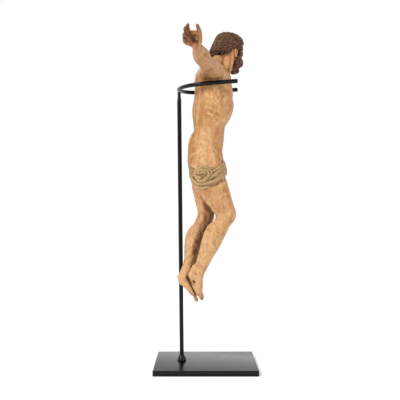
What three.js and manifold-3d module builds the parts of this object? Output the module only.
// A carved and painted wooden figure from a crucifix, held upright on a steel stand.
// Millimetres, +Z up, the figure faces +X. The origin is at the centre of the base plate's underside.

import * as THREE from 'three';
import { mergeVertices } from 'three/addons/utils/BufferGeometryUtils.js';
import Module from 'manifold-3d';

const manifold = await Module();
manifold.setup();

// Sizes of the stand
const plateSide = 190;
const plateThickness = 10;
const plateCornerRadius = 2.5;
const plateEdgeBevel = 0.8;
const rodDiameter = 8;
const rodSetBack = 45;
const rodLeanDegrees = 0.58;
const rodNeckDiameter = 5.6;
const rodNeckLength = 20;
const weldDiameter = 17;
const weldHeight = 11;
const forkHeight = 524;
const forkBarDiameter = 7.8;
const forkStraightLength = 61;
const forkRiseDegrees = 3.9;
const forkTurnDegrees = -2.75;

// Sizes of the figure
const figureHeight = 510;
const chestHalfWidth = 46;
const nailHoleDiameter = 4.4;
const palmHoleDepth = 5;
const footHoleDepth = 5;

// Gap left between pieces that touch
const touchGap = 0.3;

// Points closer than this are one, where joined surfaces meet
const seamTolerance = 0.3;

// The figure is drawn in parts, 510 of them to its height, from the middle of the fork
const partsTall = 510;
const part = figureHeight / partsTall;
const degrees = Math.PI / 180;

const paintedWood = { color: 0xd6a574, roughness: 0.62, metalness: 0 };
const blackPaint = { color: 0x0c0b0c, roughness: 0.25, metalness: 0.1 };

// Small vector helpers

function vector(x, y, z) {
  return new THREE.Vector3(x, y, z);
}

// Runs smoothly from 0 where the value is at the first limit to 1 where it is at the second
function smoothStep(from, to, value) {
  const share = THREE.MathUtils.clamp((value - from) / (to - from), 0, 1);
  return share * share * (3 - 2 * share);
}

// Closed skins and solids

// Joins rings of equally many points into one closed geometry, with a point at each end.
// Each ring runs anticlockwise as seen from the end of the row.
function closedSkin(rings) {
  const count = rings[0].length;
  const positions = [];
  const triangles = [];
  const middle = (ring) => ring.reduce((sum, p) => sum.add(p), vector(0, 0, 0)).divideScalar(count);
  for (const ring of rings) {
    for (const point of ring) {
      positions.push(point.x, point.y, point.z);
    }
  }
  const firstPole = rings.length * count;
  const lastPole = firstPole + 1;
  positions.push(...middle(rings[0]).toArray());
  positions.push(...middle(rings[rings.length - 1]).toArray());
  for (let i = 0; i < count; i += 1) {
    const next = (i + 1) % count;
    for (let r = 0; r + 1 < rings.length; r += 1) {
      const low = r * count;
      const high = low + count;
      triangles.push(low + i, low + next, high + next);
      triangles.push(low + i, high + next, high + i);
    }
    const last = (rings.length - 1) * count;
    triangles.push(firstPole, next, i);
    triangles.push(lastPole, last + i, last + next);
  }
  const geometry = new THREE.BufferGeometry();
  geometry.setAttribute('position', new THREE.Float32BufferAttribute(positions, 3));
  geometry.setIndex(triangles);
  return geometry;
}

// An oval ring around a centre: front and side are unit vectors, the depth differs before and behind
function ovalRing(centre, front, side, half, ahead, behind, sides, squareness = 2) {
  const ring = [];
  for (let i = 0; i < sides; i += 1) {
    const angle = (i / sides) * 2 * Math.PI;
    const c = Math.cos(angle);
    const s = Math.sin(angle);
    const power = 2 / squareness;
    const forward = Math.sign(c) * Math.abs(c) ** power * (c > 0 ? ahead : behind);
    const sideways = Math.sign(s) * Math.abs(s) ** power * half;
    ring.push(centre.clone().addScaledVector(front, forward).addScaledVector(side, sideways));
  }
  return ring;
}

// A limb over rows of [x, y, z, half-width, depth ahead, depth behind], rounded at both ends.
// The front vector says which way its depth ahead points.
function limb(rows, front, sides, steps, squareness = 2, roundSteps = 2) {
  const axis = new THREE.CatmullRomCurve3(rows.map((row) => vector(row[0], row[1], row[2])));
  const widths = new THREE.CatmullRomCurve3(rows.map((row) => vector(row[3], row[4], row[5])));
  const rings = [];
  const addRing = (t, shrink, slide) => {
    const along = axis.getTangent(t);
    const ahead = front.clone().addScaledVector(along, -front.dot(along)).normalize();
    const side = along.clone().cross(ahead);
    const whole = widths.getPoint(t);
    const centre = axis.getPoint(t).addScaledVector(along, slide * whole.x);
    const size = whole.clone().multiplyScalar(shrink);
    rings.push(ovalRing(centre, ahead, side, size.x, size.y, size.z, sides, squareness));
  };
  for (let i = roundSteps; i > 0; i -= 1) {
    const angle = (i / (roundSteps + 1)) * 90 * degrees;
    addRing(0, Math.cos(angle), -Math.sin(angle) * 0.8);
  }
  for (let i = 0; i <= steps; i += 1) {
    addRing(i / steps, 1, 0);
  }
  for (let i = 1; i <= roundSteps; i += 1) {
    const angle = (i / (roundSteps + 1)) * 90 * degrees;
    addRing(1, Math.cos(angle), Math.sin(angle) * 0.8);
  }
  return closedSkin(rings);
}

// A ball stretched to three half-sizes
function oval(centre, sizes, sides = 7) {
  const geometry = new THREE.SphereGeometry(1, sides, Math.round(sides * 0.6));
  geometry.scale(sizes.x, sizes.y, sizes.z);
  geometry.translate(centre.x, centre.y, centre.z);
  return geometry;
}

// A round roll along points, tapered by a radius at each point
function roll(points, radii, sides = 6, steps = points.length) {
  const rows = points.map((p, i) => [p.x, p.y, p.z, radii[i], radii[i], radii[i]]);
  return limb(rows, vector(0.31, 0.17, 0.93), sides, steps, 2, 1);
}

// Lifts or sinks the skin along a stroke, by a height that fades with the distance from it
function stroke(geometry, path, width, height) {
  geometry.computeVertexNormals();
  const position = geometry.attributes.position;
  const normal = geometry.attributes.normal;
  const nearest = vector(0, 0, 0);
  for (let i = 0; i < position.count; i += 1) {
    const point = vector(position.getX(i), position.getY(i), position.getZ(i));
    let distance = Infinity;
    for (let k = 0; k + 1 < path.length; k += 1) {
      new THREE.Line3(path[k], path[k + 1]).closestPointToPoint(point, true, nearest);
      distance = Math.min(distance, nearest.distanceTo(point));
    }
    const lift = height * Math.exp(-((distance / width) ** 2));
    point.add(vector(normal.getX(i), normal.getY(i), normal.getZ(i)).multiplyScalar(lift));
    position.setXYZ(i, point.x, point.y, point.z);
  }
}

function movePoints(geometry, move) {
  const position = geometry.attributes.position;
  for (let i = 0; i < position.count; i += 1) {
    const point = move(vector(position.getX(i), position.getY(i), position.getZ(i)));
    position.setXYZ(i, point.x, point.y, point.z);
  }
  return geometry;
}

function toSolid(geometry) {
  const bare = new THREE.BufferGeometry();
  bare.setAttribute('position', geometry.attributes.position.clone());
  bare.setIndex(geometry.index ? geometry.index.clone() : null);
  const merged = mergeVertices(bare, 1e-3);
  const mesh = new manifold.Mesh({
    numProp: 3,
    vertProperties: new Float32Array(merged.attributes.position.array),
    triVerts: new Uint32Array(merged.index.array),
  });
  mesh.merge();
  return new manifold.Manifold(mesh);
}

function toGeometry(solid) {
  const mesh = solid.getMesh();
  const geometry = new THREE.BufferGeometry();
  geometry.setAttribute('position', new THREE.BufferAttribute(new Float32Array(mesh.vertProperties), 3));
  geometry.setIndex(new THREE.BufferAttribute(new Uint32Array(mesh.triVerts), 1));
  return geometry;
}

function joined(geometries) {
  return geometries.map(toSolid).reduce((whole, next) => whole.add(next));
}

// Fills the small hollows that joining shut in: a hollow's skin encloses a negative volume
function withoutHollows(geometry) {
  const position = geometry.attributes.position;
  const index = geometry.index.array;
  const owner = Array.from({ length: position.count }, (unused, i) => i);
  const find = (i) => {
    let root = i;
    while (owner[root] !== root) {
      owner[root] = owner[owner[root]];
      root = owner[root];
    }
    return root;
  };
  for (let i = 0; i < index.length; i += 3) {
    owner[find(index[i])] = find(index[i + 1]);
    owner[find(index[i + 1])] = find(index[i + 2]);
  }
  const volumes = new Map();
  const corners = [vector(0, 0, 0), vector(0, 0, 0), vector(0, 0, 0)];
  for (let i = 0; i < index.length; i += 3) {
    corners.forEach((corner, k) => corner.fromBufferAttribute(position, index[i + k]));
    const volume = corners[0].dot(corners[1].clone().cross(corners[2])) / 6;
    const root = find(index[i]);
    volumes.set(root, (volumes.get(root) ?? 0) + volume);
  }
  const kept = [];
  for (let i = 0; i < index.length; i += 3) {
    if (volumes.get(find(index[i])) > 1) {
      kept.push(index[i], index[i + 1], index[i + 2]);
    }
  }
  geometry.setIndex(kept);
  return geometry;
}

// The body above the hips turns a little towards its right, about the middle of the chest
const chestTurn = -7 * degrees;
const chestMiddle = 15;

function turned(point) {
  const share = smoothStep(-120, -10, point.z);
  return point.sub(vector(chestMiddle, 0, 0)).applyAxisAngle(vector(0, 0, 1), chestTurn * share)
    .add(vector(chestMiddle, 0, 0));
}

// Trunk: rows of height, sideways shift, back, front and half-width
const trunkRows = [
  [-194, 1, -16, 30, 30],
  [-180, 2, -25, 35, 43],
  [-166, 2, -31, 36, 45.5],
  [-150, 2, -33, 36, 45.5],
  [-134, 2, -33.5, 34.5, 43.5],
  [-118, 2, -33, 31.5, 40.5],
  [-102, 1.5, -32.5, 34, 38],
  [-86, 1, -27, 35, 36.5],
  [-72, 1, -22.5, 37.5, 37.5],
  [-58, 0.5, -24.5, 45.5, 40],
  [-44, 0, -26, 50.5, 42],
  [-28, 0, -24, 53, 43.5],
  [-10, 0, -21, 52.5, 45],
  [8, 0, -19, 48, 46],
  [24, 0, -17.5, 45, 47],
  [36, 0, -12, 43, 43],
  [46, 1, -3, 39, 29],
];

function trunk() {
  const sides = 28;
  const steps = 22;
  const widthShare = chestHalfWidth / 46;
  const heightRows = trunkRows.map((row) => vector(row[0], row[1], row[4] * widthShare));
  const heights = new THREE.CatmullRomCurve3(heightRows);
  const depths = new THREE.CatmullRomCurve3(trunkRows.map((row) => vector(row[2], row[3], 0)));
  const rings = [];
  for (let i = 0; i <= steps; i += 1) {
    const place = heights.getPoint(i / steps);
    const depth = depths.getPoint(i / steps);
    const centre = vector((depth.x + depth.y) / 2, place.y, place.x);
    const half = (depth.y - depth.x) / 2;
    rings.push(ovalRing(centre, vector(1, 0, 0), vector(0, 1, 0), place.z, half, half, sides, 2.35));
  }
  const skin = closedSkin(rings);
  for (const side of [-1, 1]) {
    const at = (x, y, z) => vector(x, y * side, z);
    const breast = [at(45, 17, 22), at(45, 22, 8)];
    const breastEdge = [at(48, 5, -17), at(45, 24, -15), at(34, 38, -4)];
    const ribArch = [at(47, 4, -27), at(43, 16, -46), at(28, 33, -64)];
    const blade = [at(-13, 20, 24), at(-17, 25, 2)];
    const backMuscle = [at(-2, 44, 16), at(-14, 35, -26), at(-17, 25, -60)];
    const spineMuscle = [at(-22, 9, -20), at(-22, 10, -74), at(-30, 10, -100)];
    const bellyEdge = [at(26, 27, -92), at(30, 18, -124)];
    const flank = [at(12, 38, -104), at(-8, 38, -104)];
    stroke(skin, breast, 13, 3);
    stroke(skin, breastEdge, 6, -2);
    stroke(skin, ribArch, 6, 2);
    stroke(skin, blade, 12, 3);
    stroke(skin, backMuscle, 9, 1.6);
    stroke(skin, spineMuscle, 6, 1.6);
    stroke(skin, bellyEdge, 7, -1.6);
    stroke(skin, flank, 9, 1.8);
  }
  const breastbone = [vector(45, 0, 34), vector(50, 0, -18)];
  const pit = [vector(44, 0, -46), vector(38, 0, -62)];
  const bellyLine = [vector(35, 0, -70), vector(31, 0, -116)];
  const spine = [vector(-12, 0, 36), vector(-24, 0, -40), vector(-22, 0, -72), vector(-31, 0, -110)];
  stroke(skin, breastbone, 5, -2.2);
  stroke(skin, pit, 14, -2.4);
  stroke(skin, bellyLine, 5, -1.6);
  stroke(skin, spine, 6, -3);
  return skin;
}

// Legs: rows of x, y, z, half-width, depth ahead and depth behind
const rightLegRows = [
  [4, -21, -148, 23, 30, 30],
  [8, -23, -172, 23, 30, 31],
  [16, -24, -194, 22, 28, 26],
  [25, -25, -212, 20, 25, 23],
  [32, -26, -226, 18.5, 22, 19.5],
  [36.5, -26, -236, 18, 19.5, 17.5],
  [34, -26, -248, 17, 18.5, 17],
  [23, -25.5, -263, 17.5, 18, 20],
  [14.5, -25, -279, 17.5, 17.5, 20],
  [7.5, -25, -296, 15.5, 16.5, 18],
  [1, -24.5, -314, 13, 14.5, 15],
  [-5.5, -24, -329, 11.5, 13, 13],
  [-11, -24, -341, 11.5, 12.5, 12.5],
  [-15.5, -24.5, -350, 10, 12, 10.5],
];
const leftLegRows = [
  [1, 22, -148, 23, 30, 31],
  [0, 22, -172, 23, 30, 29],
  [1, 20, -194, 22, 27, 25],
  [3, 17.5, -212, 20, 24, 23],
  [3, 15.5, -226, 18.5, 21, 20.5],
  [0.5, 14, -239, 17.5, 15, 16],
  [-5, 12, -252, 16.5, 14.5, 16.5],
  [-14.5, 10, -270, 17, 15.5, 20],
  [-22, 8, -286, 16, 15, 18],
  [-26.5, 4, -302, 14, 14, 14],
  [-29.5, -2, -319, 12, 12.5, 11],
  [-33, -8.5, -334, 11, 11.5, 10],
  [-36, -13, -344, 11, 11, 11],
  [-40, -15, -353, 10, 10.5, 10],
];

function leg(rows, kneeFront) {
  const skin = limb(rows, vector(1, 0, 0.25), 12, 18, 2, 1);
  const knee = rows[5];
  const shin = rows[8];
  const kneecap = vector(knee[0] + knee[4] - 3, knee[1], knee[2] + 2);
  const shinTop = vector(shin[0] + 15, shin[1] + 2, shin[2]);
  const shinFoot = vector(shin[0] + 3, shin[1] + 2, shin[2] - 34);
  stroke(skin, [kneecap, kneecap.clone().add(vector(-1, 0, -7))], 8, kneeFront);
  stroke(skin, [shinTop, shinFoot], 5, 1.2);
  return skin;
}

// A foot from heel to toes, with five toes that get shorter outwards
function foot(rows, instep, toeWay, outward) {
  const pieces = [limb(rows, instep, 10, 5, 2.3, 1)];
  const ball = rows[rows.length - 1];
  const start = vector(ball[0], ball[1], ball[2]);
  const across = toeWay.clone().cross(instep).normalize().multiplyScalar(outward);
  const toeCount = 5;
  for (let i = 0; i < toeCount; i += 1) {
    const share = i / (toeCount - 1);
    const radius = i === 0 ? 3.7 : 2.9 - 0.5 * share;
    const length = i === 0 ? 12 : 11.5 - 4 * share;
    const offset = -8 + 16.2 * share + (i === 0 ? 0 : 0.8);
    const base = start.clone().addScaledVector(across, offset).addScaledVector(toeWay, -2.5 * share);
    const bend = base.clone().addScaledVector(toeWay, length * 0.55).addScaledVector(instep, 1.3);
    const tip = base.clone().addScaledVector(toeWay, length).addScaledVector(instep, -0.4);
    pieces.push(roll([base, bend, tip], [radius * 1.05, radius, radius * 0.85], 6, 2));
  }
  return pieces;
}

const rightFootRows = [
  [-19, -25.5, -343, 8, 10, 9],
  [-18.5, -25.5, -353, 10, 13, 10],
  [-16.5, -24, -364, 10.5, 12, 9],
  [-13.5, -21, -376, 11, 7.5, 6.5],
  [-10.5, -18.5, -386, 11.5, 5.2, 4.8],
];
// The nail went in at the outer side of the upper foot
const footHoleMouth = vector(-21, -35, -364);

function footHole() {
  const inner = footHoleMouth.clone().add(vector(0, footHoleDepth, 0));
  const outer = footHoleMouth.clone().add(vector(0, -footHoleDepth, 0));
  return roll([outer, inner], [nailHoleDiameter / 2, nailHoleDiameter * 0.4], 8, 1);
}

const leftFootRows = [
  [-47.5, -16, -355, 8, 8, 6],
  [-44, -15.5, -360, 10, 12, 8],
  [-36, -15, -368, 10.5, 11, 7],
  [-29, -14.5, -377, 11, 8, 6],
  [-23, -14, -386.5, 11.5, 5.2, 4.8],
];

// Arm in the chest's own directions; side is -1 for the figure's right arm and 1 for its left
const armRows = [
  [19, 40, 26, 14, 17, 19],
  [20, 55, 30, 17.5, 17.5, 18.5],
  [19, 72, 29, 17, 16.5, 17.5],
  [18, 92, 28, 15.5, 15.5, 16],
  [16.5, 114, 27, 14.5, 15, 14.5],
  [15, 136, 26.5, 13, 13, 13],
  [15, 152, 27, 12.5, 12.5, 13.5],
  [14, 170, 27.5, 14.5, 14, 14.5],
  [13.5, 190, 29, 13.5, 12.5, 13.5],
  [13, 210, 31, 11, 10, 11],
  [12.5, 228, 33, 9, 7.6, 8],
  [12, 241, 34, 9.2, 7, 7],
];
const wrist = vector(12, 240, 33.5);
const handWay = vector(-0.46, 0.80, 0.36).normalize();
const handWidth = vector(0.327, -0.332, 0.885).normalize();
// The palm: place along the hand, place across it, half-width, depth ahead and depth behind
const palmRows = [
  [-3, 0, 9, 6.5, 6],
  [7, 0.5, 11.5, 6.2, 5.5],
  [16, 0.5, 12.5, 5, 5],
  [25, 0, 12, 4, 4],
];
// Each finger: place along the palm, place across it, length, thickness and spread in degrees
const fingers = [
  [24, 8.6, 19.5, 2.9, 8],
  [25.5, 3, 22, 3.0, 2],
  [24.5, -3.0, 20.5, 2.8, -6],
  [22, -8.4, 16.5, 2.5, -15],
];
// How far the palm's skin lies in front of the middle of the hand
const palmSkin = 5.5;
const thumb = [vector(18, 243, 37), vector(19.5, 252, 50), vector(16.5, 260.5, 60.5)];

function arm(side) {
  const mirror = (p) => vector(p.x, p.y * side, p.z);
  const rows = armRows.map(([x, y, z, half, ahead, behind]) => [x, y * side, z, half, ahead, behind]);
  const way = mirror(handWay);
  const across = mirror(handWidth);
  across.addScaledVector(way, -across.dot(way)).normalize();
  // The palm looks forwards, whichever side the arm is on
  const palm = across.clone().cross(way).multiplyScalar(-side);
  const from = mirror(wrist);
  const onHand = (along, sideways, out) => from.clone().addScaledVector(way, along)
    .addScaledVector(across, sideways).addScaledVector(palm, out);
  const pieces = [limb(rows, vector(1, 0, 0), 12, 12, 2, 1)];
  const palmLine = palmRows.map(([along, sideways, ...sizes]) => [...onHand(along, sideways, 0), ...sizes]);
  pieces.push(limb(palmLine, palm, 10, 3, 2.4, 1));
  for (const [along, sideways, length, thick, spread] of fingers) {
    const fan = across.clone().multiplyScalar(Math.tan(spread * degrees));
    const heading = way.clone().add(fan).normalize();
    const joints = [onHand(along - 4, sideways, 0)];
    const shares = [0.46, 0.3, 0.24];
    shares.forEach((share, i) => {
      const curl = (14 + 13 * i) * degrees;
      const step = heading.clone().multiplyScalar(Math.cos(curl)).addScaledVector(palm, Math.sin(curl));
      joints.push(joints[i].clone().addScaledVector(step, (length + 4) * share));
    });
    pieces.push(roll(joints, [thick * 1.1, thick * 1.05, thick * 0.95, thick * 0.78], 6, 3));
  }
  pieces.push(roll(thumb.map(mirror), [4.6, 3.7, 2.7], 7, 3));
  pieces.push(oval(onHand(9, 7, 2.5), vector(6, 7, 6), 8));
  pieces.push(oval(onHand(19, 9.5, 1), vector(5, 6, 4.5), 7));
  const holeWay = [onHand(14, 1, palmSkin - palmHoleDepth), onHand(14, 1, palmSkin + 4)];
  const hole = roll(holeWay, [nailHoleDiameter * 0.5, nailHoleDiameter * 0.6], 8, 1);
  return { pieces, hole };
}

// Head in its own directions: x out of the face, y to the figure's left, z up through the crown
const headCentre = vector(46.3, 5, 80.7);
const headTurn = 40 * degrees;
const headBow = 10 * degrees;
const headMatrix = new THREE.Matrix4().makeRotationZ(headTurn)
  .multiply(new THREE.Matrix4().makeRotationY(headBow)).setPosition(headCentre);

function face() {
  const faceRows = [
    [3, 0, 12, 20.5, 19.5, 20],
    [3, 0, 3, 21, 22.5, 20],
    [3.5, 0, -7, 20, 22.5, 19],
    [4, 0, -17, 18.5, 22, 16],
    [5, 0, -27, 15.5, 20.5, 11],
    [7, 0, -36, 10, 15, 8],
  ];
  const skin = limb(faceRows, vector(1, 0, 0), 18, 10, 2.2, 1);
  const pieces = [skin];
  for (const side of [-1, 1]) {
    stroke(skin, [vector(24, 5 * side, -9), vector(21, 12 * side, -9)], 4.5, -2.6);
    stroke(skin, [vector(26, 3 * side, -4), vector(22, 13 * side, -3.5)], 3.5, 1.6);
    stroke(skin, [vector(21, 12 * side, -17)], 5, 1.2);
    pieces.push(oval(vector(20.5, 8 * side, -9), vector(3.4, 4.6, 2.7), 6));
    pieces.push(oval(vector(-1, 21.5 * side, -11), vector(4, 2.4, 7), 6));
  }
  const noseRows = [
    [24.5, 0, -4, 2, 1.5, 2],
    [26.5, 0, -10, 2.6, 1.8, 3],
    [28, 0, -17.5, 4.4, 3.2, 5],
    [26.5, 0, -20.5, 3, 1.5, 4],
  ];
  pieces.push(limb(noseRows, vector(1, 0, 0), 7, 3, 2, 1));
  pieces.push(oval(vector(24.6, 0, -27.5), vector(2.6, 5, 2.2), 6));
  return pieces;
}

// Short close locks: small raised locks in staggered rows. Rows are counted along the polar angle,
// and each row has as many locks as its girth has room for.
function lockRelief(polar, around, rows, widest) {
  const row = Math.floor((polar / Math.PI) * rows);
  const middle = ((row + 0.5) / rows) * Math.PI;
  const locks = Math.max(4, Math.round(widest * Math.sin(middle)));
  const down = Math.abs(Math.sin((polar / Math.PI) * rows * Math.PI));
  const across = Math.abs(Math.cos(around * locks / 2 + (row % 2) * Math.PI / 2));
  return down * (0.35 + 0.65 * across);
}

const hairLift = 2;
const napeFullness = 1.19;
const hairMiddle = vector(-3, 0, 2);

// The hair follows the skull, flares at the nape into pointed tips and stays off the face
function hairCap() {
  const ball = new THREE.SphereGeometry(1, 34, 18);
  ball.deleteAttribute('uv');
  ball.deleteAttribute('normal');
  return movePoints(mergeVertices(ball, 1e-4), (unit) => {
    const polar = Math.acos(THREE.MathUtils.clamp(unit.z, -1, 1));
    const around = Math.atan2(unit.y, unit.x);
    const relief = lockRelief(polar, around, 9, 17);
    const place = vector(unit.x * 30, unit.y * 25, unit.z * 24).addScaledVector(unit, hairLift * relief);
    const girth = Math.max(Math.hypot(unit.x, unit.y), 0.2);
    const back = smoothStep(0.1, -0.7, unit.x / girth);
    const low = smoothStep(12, -18, place.z) * smoothStep(-23.9, -20, place.z);
    const fullness = THREE.MathUtils.lerp(1, napeFullness / girth, back * low);
    place.x *= fullness;
    place.y *= fullness;
    const hairline = THREE.MathUtils.lerp(6, 26, smoothStep(0, 13, place.z));
    place.x = Math.min(place.x, hairline);
    return place.add(hairMiddle);
  });
}

// Longer locks that curl down in front of and over each ear
function templeLocks() {
  const pieces = [];
  for (const side of [-1, 1]) {
    for (const [x, low] of [[10, -15], [1, -12]]) {
      const top = vector(x + 1, 19.5 * side, 4);
      const bend = vector(x - 3, 23.5 * side, -6);
      const tip = vector(x + 1.5, 21.5 * side, low);
      pieces.push(roll([top, bend, tip], [4.4, 3.6, 1.8], 6, 3));
    }
  }
  return pieces;
}

// A short curly beard along the jaw, from the temples down to a blunt tip
function beard() {
  const rows = [
    [4, 0, -9, 21.5, 11, 5],
    [5.5, 0, -18, 23.5, 19, 7],
    [9, 0, -26, 23.5, 23, 11],
    [12, 0, -34, 21.5, 23, 12],
    [14, 0, -42, 15.5, 18.5, 10],
    [17, 0, -48, 7.5, 10, 6.5],
  ];
  const skin = limb(rows, vector(1, 0, 0), 20, 9, 2.2, 1);
  movePoints(skin, (point) => {
    const around = Math.atan2(point.y, point.x - 9);
    const polar = THREE.MathUtils.clamp((-8 - point.z) / 44, 0, 1) * Math.PI;
    const out = vector(point.x - 9, point.y, 0).normalize();
    return point.addScaledVector(out, 2.4 * lockRelief(polar, around, 5, 13) - 0.8);
  });
  const pieces = [skin];
  for (const side of [-1, 1]) {
    const lip = [vector(27, 0.5 * side, -23), vector(24.5, 7 * side, -25.5), vector(20, 11.5 * side, -30)];
    pieces.push(roll(lip, [1.8, 2.2, 1.8], 6, 3));
  }
  return pieces;
}

function neckAndShoulders() {
  const neck = [
    [22, 0, 28, 20, 19, 24],
    [28, 2, 47, 16.5, 16, 25],
    [35, 3, 62, 15.5, 15, 19.5],
    [40, 4, 76, 15, 14, 15],
  ];
  const pieces = [limb(neck, vector(1, 0, 0), 14, 6)];
  for (const side of [-1, 1]) {
    const slope = [vector(22, 4 * side, 60), vector(15, 16 * side, 47), vector(11, 40 * side, 35)];
    pieces.push(roll(slope, [9, 12, 13], 10, 4));
  }
  return pieces;
}

// Muscles that carry the arms: breast, shoulder blade and the side of the back
function armRoots() {
  const pieces = [];
  for (const side of [-1, 1]) {
    const breast = [vector(33, 13 * side, 14), vector(31, 36 * side, 22), vector(23, 60 * side, 28)];
    const blade = [vector(-2, 22 * side, 18), vector(4, 40 * side, 24), vector(14, 66 * side, 28)];
    pieces.push(roll(breast, [11, 12.5, 12.5], 9, 4));
    pieces.push(roll(blade, [13, 14, 12], 9, 4));
    pieces.push(oval(vector(18, 50 * side, 33), vector(17, 19, 16.5), 10));
  }
  return pieces;
}

// Loincloth: a wrapped band with sloping edges and folds, tied in a knot at the right hip
function clothEdge(angle, levels) {
  // Levels at the front, right, back and left of the hips
  const [front, right, back, left] = levels;
  const c = Math.cos(angle);
  const s = Math.sin(angle);
  const side = s < 0 ? right : left;
  const end = c > 0 ? front : back;
  return end * c * c + side * s * s;
}

function clothBand() {
  const around = 36;
  const bands = 7;
  const rings = [];
  for (let k = 0; k <= bands; k += 1) {
    const share = k / bands;
    const ring = [];
    for (let i = 0; i < around; i += 1) {
      const angle = (i / around) * 2 * Math.PI;
      const low = clothEdge(angle, [-163, -186, -177, -180]);
      const high = clothEdge(angle, [-140, -151, -141, -146]);
      const z = low + (high - low) * share;
      const fold = Math.abs(Math.sin(share * 3.5 * Math.PI + 1.1 * Math.sin(angle + 0.6)));
      const edge = Math.sin(share * Math.PI) ** 0.4;
      const lift = 1.3 + 2.2 * fold * edge;
      const c = Math.cos(angle);
      const s = Math.sin(angle);
      const reach = c > 0 ? 36 - Math.abs(z + 156) * 0.1 : 34.5 - Math.max(0, -166 - z) * 0.42;
      const corner = c > 0 ? 0.7 : 0.85;
      const x = 3 + Math.sign(c) * Math.abs(c) ** corner * (reach + lift);
      const y = 2 + Math.sign(s) * Math.abs(s) ** corner * (45.5 + lift);
      ring.push(vector(x, y, z));
    }
    rings.push(ring);
  }
  return closedSkin(rings);
}

function clothKnot() {
  const pieces = [];
  const centre = vector(-6, -47, -163);
  const loop = [];
  const turns = 9;
  for (let i = 0; i <= turns; i += 1) {
    const angle = (-40 + 300 * (i / turns)) * degrees;
    const c = Math.cos(angle);
    const s = Math.sin(angle);
    loop.push(centre.clone().add(vector(11 * c, 2 - 1.5 * s, 8.5 * s)));
  }
  pieces.push(roll(loop, loop.map((p, i) => 3.4 + 1.4 * Math.sin((i / turns) * Math.PI)), 7, 12));
  pieces.push(oval(centre.clone().add(vector(1, 1, 0)), vector(6.5, 6, 5), 8));
  const swag = [vector(-28, -35, -166), vector(-14, -45, -179), vector(6, -46, -180)];
  pieces.push(roll(swag, [3, 4.6, 4.2], 7, 5));
  const hem = [vector(-22, -38, -176), vector(-8, -44, -185), vector(8, -44, -184)];
  pieces.push(roll(hem, [3, 3.8, 3.2], 6, 5));
  const backFold = [vector(-10, -45, -158), vector(-20, -39, -151), vector(-29, -24, -146)];
  pieces.push(roll(backFold, [4, 3.4, 2.4], 6, 4));
  return pieces;
}

// Two strands that twist round each other from the knot up to the front of the hips
function clothRope(from, middle, to, radius, twists) {
  const route = new THREE.CatmullRomCurve3([from, middle, to]);
  const pieces = [];
  const steps = 7;
  for (const phase of [0, Math.PI]) {
    const points = [];
    for (let i = 0; i <= steps; i += 1) {
      const t = i / steps;
      const along = route.getTangent(t);
      const up = vector(0, 0, 1).addScaledVector(along, -along.z).normalize();
      const out = along.clone().cross(up);
      const angle = phase + t * twists * 2 * Math.PI;
      points.push(route.getPoint(t).addScaledVector(up, radius * 0.8 * Math.cos(angle))
        .addScaledVector(out, radius * 0.8 * Math.sin(angle)));
    }
    pieces.push(roll(points, points.map(() => radius), 5, steps));
  }
  return pieces;
}

function loincloth() {
  return [
    clothBand(),
    ...clothKnot(),
    ...clothRope(vector(4, -47, -178), vector(30, -41, -169), vector(41, -10, -158), 3.2, 2.5),
    roll([vector(4, -48, -166), vector(30, -42, -162), vector(42, -12, -151)], [3.6, 3.6, 2.8], 7, 5),
    roll([vector(4, -47, -155), vector(26, -40, -152), vector(38.5, -14, -144)], [3.2, 3, 2.4], 6, 4),
  ];
}

// The fork's back bend sits on the rod, and its two arms reach forwards past the chest
const forkInnerGap = touchGap + 0.1;
const forkRadius = chestHalfWidth * part + forkInnerGap + forkBarDiameter / 2;

class ForkLine extends THREE.Curve {
  constructor() {
    super();
    this.bend = Math.PI * forkRadius;
    this.whole = this.bend + 2 * forkStraightLength;
  }

  getPoint(t) {
    const run = t * this.whole;
    if (run < forkStraightLength) {
      return vector(forkRadius + forkStraightLength - run, -forkRadius, 0);
    }
    const onBend = run - forkStraightLength;
    if (onBend < this.bend) {
      const angle = -Math.PI / 2 - onBend / forkRadius;
      return vector(forkRadius + forkRadius * Math.cos(angle), forkRadius * Math.sin(angle), 0);
    }
    return vector(forkRadius + onBend - this.bend, forkRadius, 0);
  }
}

function disc(radius, sides) {
  const shape = new THREE.Shape();
  for (let i = 0; i < sides; i += 1) {
    const angle = (i / sides) * 2 * Math.PI;
    const x = radius * Math.cos(angle);
    const y = radius * Math.sin(angle);
    if (i === 0) {
      shape.moveTo(x, y);
    } else {
      shape.lineTo(x, y);
    }
  }
  shape.closePath();
  return shape;
}

function forkGeometry(barRadius) {
  return new THREE.ExtrudeGeometry(disc(barRadius, 10), { steps: 30, extrudePath: new ForkLine() });
}

const rodRise = forkHeight - forkBarDiameter / 2 - plateThickness - 2 * touchGap;
const rodLength = rodRise / Math.cos(rodLeanDegrees * degrees);
const rodFoot = vector(-rodSetBack, 0, plateThickness + touchGap);
const rodTilt = new THREE.Euler(0, -rodLeanDegrees * degrees, 0);
const rodTop = vector(0, 0, rodLength).applyEuler(rodTilt).add(rodFoot);
const forkPlace = vector(rodTop.x, rodTop.y, forkHeight);
const forkTilt = new THREE.Euler(0, -forkRiseDegrees * degrees, forkTurnDegrees * degrees, 'ZYX');
const forkMatrix = new THREE.Matrix4().makeRotationFromEuler(forkTilt).setPosition(forkPlace);

// The figure hangs with its chest in the middle of the fork's bend
const figurePlace = vector(forkPlace.x + forkRadius, 0, forkHeight);

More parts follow.
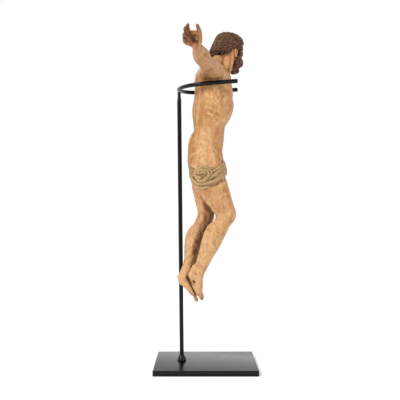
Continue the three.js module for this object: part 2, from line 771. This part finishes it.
function rodGeometry(radius) {
  const neck = radius * (rodNeckDiameter / rodDiameter);
  const profile = [
    new THREE.Vector2(0, 0),
    new THREE.Vector2(radius, 0),
    new THREE.Vector2(radius, rodLength - rodNeckLength),
    new THREE.Vector2(radius * 0.9, rodLength - rodNeckLength * 0.6),
    new THREE.Vector2(neck, rodLength - rodNeckLength * 0.3),
    new THREE.Vector2(neck, rodLength - rodNeckLength * 0.12),
    new THREE.Vector2(radius * 0.82, rodLength),
    new THREE.Vector2(0, rodLength),
  ];
  const geometry = new THREE.LatheGeometry(profile, 16);
  geometry.rotateX(Math.PI / 2);
  return geometry;
}

function corpus() {
  const right = arm(-1);
  const left = arm(1);
  const upperPieces = [trunk(), ...armRoots(), ...right.pieces, ...left.pieces];
  const chestPieces = upperPieces.map((g) => movePoints(g, turned));
  const palmHoles = [right.hole, left.hole].map((g) => movePoints(g, turned));
  const headDetails = [...face(), hairCap(), ...templeLocks(), ...beard()];
  const headPieces = headDetails.map((g) => g.applyMatrix4(headMatrix));
  const footPieces = [
    ...foot(rightFootRows, vector(0.95, -0.1, 0.3).normalize(), vector(0.28, 0.18, -0.94).normalize(), 1),
    ...foot(leftFootRows, vector(0.78, 0, 0.62).normalize(), vector(0.5, 0.05, -0.86).normalize(), -1),
  ];
  const pieces = [
    ...chestPieces,
    ...neckAndShoulders(),
    ...headPieces,
    leg(rightLegRows, 2.4),
    leg(leftLegRows, 1.6),
    ...footPieces,
    ...loincloth(),
  ];
  let body = joined(pieces);
  body = body.subtract(joined(palmHoles));
  body = body.subtract(toSolid(footHole()));
  const geometry = toGeometry(body);
  geometry.scale(part, part, part);
  geometry.translate(figurePlace.x, figurePlace.y, figurePlace.z);
  // The fork and the rod press close to the wood without touching it
  const forkRoom = forkGeometry(forkBarDiameter / 2 + touchGap).applyMatrix4(forkMatrix);
  const rodRoom = rodGeometry(rodDiameter / 2 + touchGap)
    .applyMatrix4(new THREE.Matrix4().makeRotationFromEuler(rodTilt).setPosition(rodFoot));
  const fitted = toSolid(geometry).subtract(toSolid(forkRoom)).subtract(toSolid(rodRoom));
  return withoutHollows(toGeometry(fitted.simplify(seamTolerance)))
    .translate(-figurePlace.x, -figurePlace.y, -figurePlace.z);
}

function plateGeometry() {
  const half = plateSide / 2 - plateEdgeBevel;
  const round = plateCornerRadius;
  const shape = new THREE.Shape();
  shape.moveTo(-half + round, -half);
  shape.lineTo(half - round, -half);
  shape.absarc(half - round, -half + round, round, -Math.PI / 2, 0);
  shape.absarc(half - round, half - round, round, 0, Math.PI / 2);
  shape.absarc(-half + round, half - round, round, Math.PI / 2, Math.PI);
  shape.absarc(-half + round, -half + round, round, Math.PI, 1.5 * Math.PI);
  return new THREE.ExtrudeGeometry(shape, {
    depth: plateThickness - 2 * plateEdgeBevel,
    bevelThickness: plateEdgeBevel,
    bevelSize: plateEdgeBevel,
    bevelSegments: 1,
    curveSegments: 3,
  }).translate(0, 0, plateEdgeBevel);
}

// A lumpy bead around the rod's foot
function weldGeometry() {
  const inner = rodDiameter / 2 + touchGap;
  const outer = weldDiameter / 2;
  const profile = [
    new THREE.Vector2(inner, 0),
    new THREE.Vector2(outer * 0.97, 0),
    new THREE.Vector2(outer, weldHeight * 0.1),
    new THREE.Vector2(outer * 0.86, weldHeight * 0.36),
    new THREE.Vector2(outer * 0.72, weldHeight * 0.66),
    new THREE.Vector2(inner + 0.9, weldHeight * 0.97),
    new THREE.Vector2(inner, weldHeight),
    new THREE.Vector2(inner, 0),
  ];
  const bead = new THREE.LatheGeometry(profile, 16);
  bead.rotateX(Math.PI / 2);
  return movePoints(bead, (point) => {
    const angle = Math.atan2(point.y, point.x);
    const reach = Math.hypot(point.x, point.y) - inner;
    const lump = 1 + 0.1 * Math.sin(3 * angle + 0.7) + 0.07 * Math.sin(5 * angle) - 0.1 * Math.cos(angle);
    const share = (inner + Math.max(0, reach) * lump) / Math.max(inner + Math.max(0, reach), 1e-6);
    point.x *= share;
    point.y *= share;
    return point;
  });
}

// Puts a named mesh into the object
const object = new THREE.Group();

function add(name, geometry, finish) {
  const mesh = new THREE.Mesh(geometry, new THREE.MeshStandardMaterial(finish));
  mesh.name = name;
  object.add(mesh);
  return mesh;
}

add('base_plate', plateGeometry(), blackPaint);
const weld = add('foot_weld', weldGeometry(), blackPaint);
weld.position.copy(rodFoot);
weld.rotation.copy(rodTilt);
weld.position.z += weldDiameter / 2 * Math.sin(rodLeanDegrees * degrees);
const rod = add('upright_rod', rodGeometry(rodDiameter / 2), blackPaint);
rod.position.copy(rodFoot);
rod.rotation.copy(rodTilt);
const fork = add('chest_fork', forkGeometry(forkBarDiameter / 2), blackPaint);
fork.position.copy(forkPlace);
fork.rotation.copy(forkTilt);
const figure = add('corpus', corpus(), paintedWood);
figure.position.copy(figurePlace);

export default object;
